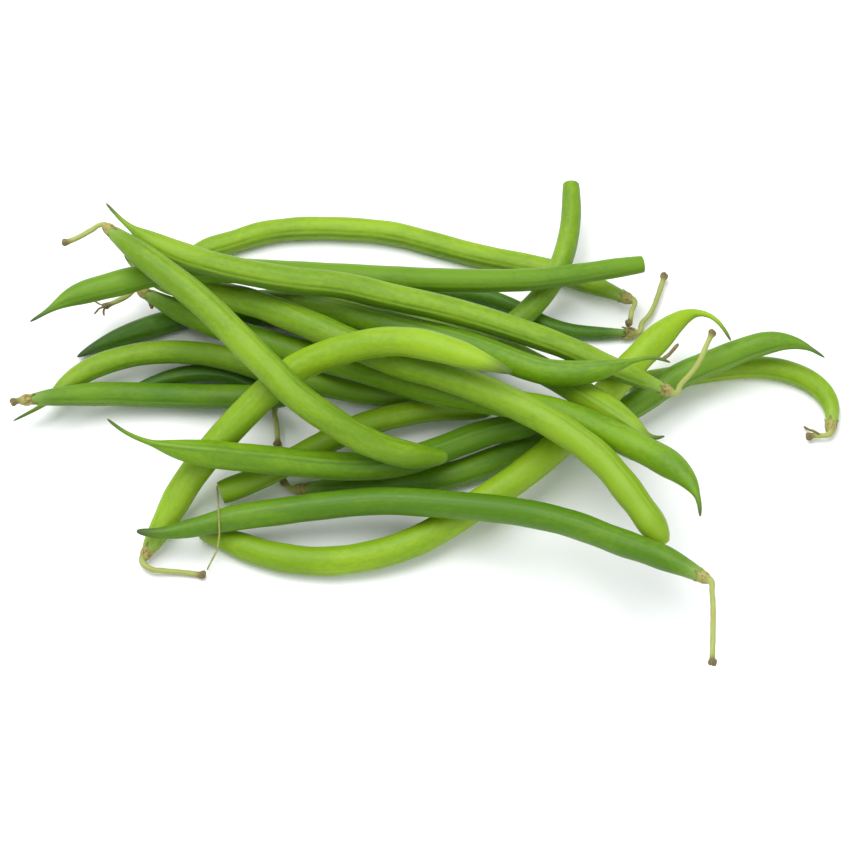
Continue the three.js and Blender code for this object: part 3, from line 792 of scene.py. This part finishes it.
class Shader:
    """A material with one Principled shader, and the means to feed it."""

    def __init__(self, name: str) -> None:
        """Makes the material."""
        self.material = bpy.data.materials.new(name)
        self.material.use_nodes = True
        self.tree = self.material.node_tree
        self.skin = next(n for n in self.tree.nodes if n.type == "BSDF_PRINCIPLED")

    def node(self, kind: str, settings: dict[str, object], inputs: dict[object, object]) -> bpy.types.Node:
        """Adds a node.

        Args:
            kind: The node's type.
            settings: Its properties, set first.
            inputs: The values or links of its sockets, by name or number.

        Returns:
            The node.
        """
        made = self.tree.nodes.new(kind)
        for name, value in settings.items():
            setattr(made, name, value)
        for socket, value in inputs.items():
            self.feed(made.inputs[socket], value)
        return made

    def feed(self, socket: bpy.types.NodeSocket, value: object) -> None:
        """Links a socket to an output, or sets its value."""
        if isinstance(value, Number):
            value = value.socket
        if isinstance(value, bpy.types.NodeSocket):
            self.tree.links.new(value, socket)
        else:
            socket.default_value = value

    def attribute(self, name: str) -> bpy.types.NodeSocket:
        """The vector that a piece keeps under a name."""
        made = self.node("ShaderNodeAttribute", {"attribute_type": "GEOMETRY", "attribute_name": name}, {})
        return made.outputs["Vector"]

    def parts(self, vector: bpy.types.NodeSocket) -> tuple[Number, Number, Number]:
        """The three numbers of a vector."""
        made = self.node("ShaderNodeSeparateXYZ", {}, {0: vector})
        return tuple(Number(self, output) for output in made.outputs)

    def scaled(self, vector: bpy.types.NodeSocket, scale: Sequence[float]) -> bpy.types.NodeSocket:
        """A vector stretched along its axes."""
        made = self.node("ShaderNodeVectorMath", {"operation": "MULTIPLY"}, {0: vector, 1: tuple(scale)})
        return made.outputs["Vector"]

    def noise(self, vector: bpy.types.NodeSocket, fineness: Sequence[float], detail: float) -> Number:
        """Makes cloudy noise from 0 to 1 over a vector.

        Args:
            vector: The place on the straight body, in millimetres.
            fineness: How fine the pattern is along each axis, per millimetre.
            detail: How many finer patterns are laid over it.

        Returns:
            The noise.
        """
        stretched = self.scaled(vector, fineness)
        made = self.node(
            "ShaderNodeTexNoise",
            {},
            {"Vector": stretched, "Scale": 1.0, "Detail": detail, "Roughness": NOISE_ROUGHNESS},
        )
        return Number(self, made.outputs["Fac"])

    def mix(self, factor: object, first: object, second: object) -> bpy.types.NodeSocket:
        """A colour between two colours."""
        made = self.node("ShaderNodeMix", {"data_type": "RGBA"}, {})
        self.feed(made.inputs[MIX_FACTOR], factor)
        self.feed(made.inputs[MIX_FIRST], (*first, 1.0) if isinstance(first, tuple) else first)
        self.feed(made.inputs[MIX_SECOND], (*second, 1.0) if isinstance(second, tuple) else second)
        return made.outputs[MIX_RESULT]

    def bump(self, height: Number, distance: float, strength: float) -> None:
        """Raises the surface by a height pattern."""
        made = self.node("ShaderNodeBump", {}, {"Height": height, "Distance": distance, "Strength": strength})
        self.feed(self.skin.inputs["Normal"], made.outputs["Normal"])


Triple = tuple[float, float, float]
Colour = Triple


@dataclass(frozen=True)
class PodFinish:
    """The skin of a pod: mottled green, a pale neck, a dark beak, a seam between grooves with painted shade
    in them, painted light and shade along the pod and below the seam, a soft sheen.
    """

    green: Green
    light: Colour
    shade: Colour
    neck: Colour = (0.31, 0.43, 0.11)
    beak: Colour = (0.04, 0.06, 0.024)
    flesh: Colour = (0.42, 0.52, 0.2)
    # the dark green of the painted shade in the seam's grooves and on the side below the seam
    groove_and_painted_shade: Colour = (0.03, 0.1, 0.006)
    groove_place: float = 0.66  # mm from the middle of the seam
    groove_width: float = 0.6
    cloud_fineness: Triple = (0.045, 0.12, 0.12)
    streak_fineness: Triple = (0.05, 1.1, 1.1)
    mottle_fineness: Triple = (0.55, 1.0, 1.0)
    speckle_fineness: Triple = (1.6, 3.2, 3.2)
    break_fineness: Triple = (0.1, 0.3, 0.3)
    roughness: float = 0.4
    shine: float = 0.3
    bump: float = 0.16 * MM
    glow: float = 0.1  # how much light goes into the flesh
    glow_reach: Triple = (0.8, 1.0, 0.1)
    glow_depth: float = 1.2 * MM

    def material(self) -> bpy.types.Material:
        """Makes the node material."""
        shader = Shader(self.green.value)
        straight = shader.attribute(STRAIGHT)
        _, y, z = shader.parts(straight)
        pale, dark, cut = shader.parts(shader.attribute(MARKS))
        # the seam's strength, the painted light along the pod and the painted shade below the seam
        strength, light, below = shader.parts(shader.attribute(SEAM_AND_PAINTED_LIGHT))
        clouds = shader.noise(straight, self.cloud_fineness, 2.0)
        streaks = shader.noise(straight, self.streak_fineness, 3.0)
        mottle = shader.noise(straight, self.mottle_fineness, 3.0)
        speckle = shader.noise(straight, self.speckle_fineness, 2.0)
        mixed = clouds * 0.95 + streaks * 0.25 + mottle * 0.42 + speckle * 0.18
        # the tone mixes the mottled noise with the painted light along the pod and the painted shade below
        # the seam
        tone = (mixed + light * 0.25 - below * 0.3).step(0.66, 1.16)
        colour = shader.mix(tone, self.shade, self.light)
        breaks = shader.noise(straight, self.break_fineness, 2.0).step(0.35, 0.6)
        upper = y.step(0.4, 1.2) * strength * (0.35 + breaks * 0.65)
        groove_and_painted_shade = (1 - abs(abs(z) - self.groove_place).step(0.0, self.groove_width)) * upper
        ridge = (1 - abs(z).step(0.0, self.groove_place)) * upper
        # painted shade in the grooves beside the seam
        colour = shader.mix(groove_and_painted_shade * 0.42, colour, self.groove_and_painted_shade)
        colour = shader.mix(ridge * 0.12, colour, self.neck)
        # painted shade: the side below the seam darkened towards the dark green of the grooves
        colour = shader.mix(below * 0.3, colour, self.groove_and_painted_shade)
        specks = speckle.step(0.62, 0.74)
        colour = shader.mix(pale * (0.4 + specks * 0.4), colour, self.neck)
        colour = shader.mix(dark * (0.55 + mottle * 0.5), colour, self.beak)
        colour = shader.mix(cut, colour, self.flesh)
        shader.feed(shader.skin.inputs["Base Color"], colour)
        rough = self.roughness + mottle * 0.1 + speckle * 0.06 + dark * 0.15 + cut * 0.3
        shader.feed(shader.skin.inputs["Roughness"], rough)
        height = ridge * 0.28 - groove_and_painted_shade * 0.65 + streaks * 0.35 + mottle * 0.35 + speckle * 0.12
        shader.bump(height, self.bump, 0.55)
        shader.skin.inputs["Specular IOR Level"].default_value = self.shine
        shader.skin.inputs["Subsurface Weight"].default_value = self.glow
        shader.skin.inputs["Subsurface Radius"].default_value = self.glow_reach
        shader.skin.inputs["Subsurface Scale"].default_value = self.glow_depth
        return shader.material


@dataclass(frozen=True)
class StalkFinish:
    """A stalk: pale green, tan at the calyx, brown where it tore off."""

    green: Colour = (0.34, 0.41, 0.1)
    tan: Colour = (0.3, 0.215, 0.055)
    brown: Colour = (0.11, 0.055, 0.02)
    fibre_fineness: Triple = (0.25, 3.0, 3.0)
    spot_fineness: Triple = (1.2, 1.6, 1.6)
    bump: float = 0.3 * MM

    def material(self) -> bpy.types.Material:
        """Makes the node material."""
        shader = Shader(STALK_SLOT)
        straight = shader.attribute(STRAIGHT)
        calyx, brown, edge = shader.parts(shader.attribute(MARKS))
        fibres = shader.noise(straight, self.fibre_fineness, 3.0)
        spots = shader.noise(straight, self.spot_fineness, 3.0)
        colour = shader.mix(fibres.step(0.3, 0.75) * 0.45, self.green, self.tan)
        colour = shader.mix(calyx * (0.35 + spots.step(0.35, 0.7) * 0.6), colour, self.tan)
        colour = shader.mix(calyx * spots.step(0.52, 0.66) * 0.75, colour, self.brown)
        colour = shader.mix((brown * (0.5 + spots * 0.6)).at_least(edge * 0.7), colour, self.brown)
        shader.feed(shader.skin.inputs["Base Color"], colour)
        shader.feed(shader.skin.inputs["Roughness"], 0.5 + spots * 0.25)
        shader.bump(fibres * 0.6 + spots * 0.8 * (0.3 + brown + calyx * 0.5), self.bump, 0.7)
        return shader.material


POD_FINISHES = (
    PodFinish(Green.LIME, (0.255, 0.412, 0.009), (0.165, 0.3, 0.004)),
    PodFinish(Green.FRESH, (0.212, 0.355, 0.01), (0.12, 0.24, 0.004)),
    PodFinish(Green.MID, (0.17, 0.32, 0.004), (0.09, 0.208, 0.002)),
    PodFinish(Green.DEEP, (0.128, 0.262, 0.004), (0.068, 0.172, 0.002)),
    PodFinish(Green.DARK, (0.076, 0.19, 0.002), (0.036, 0.115, 0.001)),
)


@dataclass
class Heap:
    """All the pods with their stalks, built from the lowest to the topmost, and then the strands."""

    pod_seed: int = 11
    stalk_seed: int = 111
    strand_seed: int = 211

    def build(self, sight: Sight) -> None:
        """Builds and dresses every pod, stalk and strand, and ties each to the solid that it stands for."""
        skins = {finish.green: finish.material() for finish in POD_FINISHES}
        stalk_skin = StalkFinish().material()
        for number, spec in enumerate(PODS):
            pod = Pod(spec, self.pod_seed + number)
            self._dress(pod.build(), skins[spec.green], pod.node, spec.green.value)
            if spec.stalk:
                stalk = Stalk(pod, self.stalk_seed + number)
                self._dress(stalk.build(), stalk_skin, stalk.node, STALK_SLOT)
        for number, strand in enumerate(STRANDS):
            self._dress(strand.build(sight, self.strand_seed + number), stalk_skin, None, STALK_SLOT)

    @staticmethod
    def _dress(piece: bpy.types.Object, skin: bpy.types.Material, node: str | None, slot: str) -> None:
        """Gives a piece its skin and says which solid, if any, it stands for.

        Args:
            piece: The finished mesh object.
            skin: Its material.
            node: The solid that it replaces, or None for a strand.
            slot: The record's material slot; not used.
        """
        piece.data.materials.clear()
        piece.data.materials.append(skin)
        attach(piece, BODY)
        if node:
            piece.name = piece.data.name = f"{node}_skin"
            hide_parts(node)
        triangles = sum(len(face.vertices) - 2 for face in piece.data.polygons)
        log.info("%s: %d triangles", piece.name, triangles)


@dataclass(frozen=True)
class SoftLight:
    """A square light that faces the heap: where it hangs, the length of its side and its power in watts."""

    name: str
    place: Triple
    size: float
    power: float


SOFT_LIGHTS = (
    SoftLight("overhead", (-0.28, 0.3, 1.15), 1.15, 17.4),
    SoftLight("front_fill", (0.7, -0.8, 1.0), 0.8, 3.9),
)


@dataclass
class Studio:
    """The pale floor, the soft lights and the camera at the photograph's angle."""

    sight: Sight
    frame_width: float = 0.2125  # what the square picture takes in at the target
    sensor: float = 36.0  # mm
    nearest: float = 0.05  # what is closer to the camera than this isn't drawn
    floor_size: float = 6.0
    floor_colour: Colour = (0.95, 0.95, 0.955)
    floor_roughness: float = 0.9
    floor_shine: float = 0.1
    sky_colour: Colour = (0.93, 0.96, 1.0)
    sky_strength: float = 0.62

    def camera(self) -> None:
        """Sets the camera."""
        data = bpy.data.cameras.new("camera")
        data.sensor_width = self.sensor
        data.lens = self.sensor * self.sight.distance / self.frame_width
        data.clip_start = self.nearest
        made = bpy.data.objects.new("camera", data)
        made.location = self.sight.viewer
        made.rotation_euler = (-self.sight.away).to_track_quat("-Z", "Y").to_euler()
        bpy.context.scene.collection.objects.link(made)
        bpy.context.scene.camera = made

    def floor(self) -> None:
        """Lays the white surface."""
        bpy.ops.object.select_all(action="DESELECT")
        bpy.ops.mesh.primitive_plane_add(size=self.floor_size, location=(0, 0, 0))
        floor = bpy.context.active_object
        floor.name = "floor"
        shader = Shader("floor_white")
        shader.skin.inputs["Base Color"].default_value = (*self.floor_colour, 1)
        shader.skin.inputs["Roughness"].default_value = self.floor_roughness
        shader.skin.inputs["Specular IOR Level"].default_value = self.floor_shine
        floor.data.materials.append(shader.material)

    def light(self, soft: SoftLight) -> None:
        """Hangs a light and turns it to the heap."""
        data = bpy.data.lights.new(soft.name, "AREA")
        data.size = soft.size
        data.energy = soft.power
        made = bpy.data.objects.new(soft.name, data)
        made.location = soft.place
        towards = Vector(self.sight.target) - Vector(soft.place)
        made.rotation_euler = towards.to_track_quat("-Z", "Y").to_euler()
        bpy.context.scene.collection.objects.link(made)

    def lights(self) -> None:
        """Sets the pale surroundings and the lights."""
        world = bpy.data.worlds.new("surroundings")
        world.use_nodes = True
        sky = next(n for n in world.node_tree.nodes if n.type == "BACKGROUND")
        sky.inputs["Color"].default_value = (*self.sky_colour, 1)
        sky.inputs["Strength"].default_value = self.sky_strength
        bpy.context.scene.world = world
        for soft in SOFT_LIGHTS:
            self.light(soft)
        bpy.context.scene.view_settings.view_transform = "Standard"
        bpy.context.scene.view_settings.look = "None"

    def build(self) -> None:
        """Builds the camera, the floor and the lights."""
        self.camera()
        self.floor()
        self.lights()


def main() -> None:
    """Builds the studio and the heap."""
    logging.basicConfig(level=logging.INFO, format="%(message)s")
    sight = Sight()
    Studio(sight).build()
    Heap().build(sight)


if __name__ == "__main__":
    main()
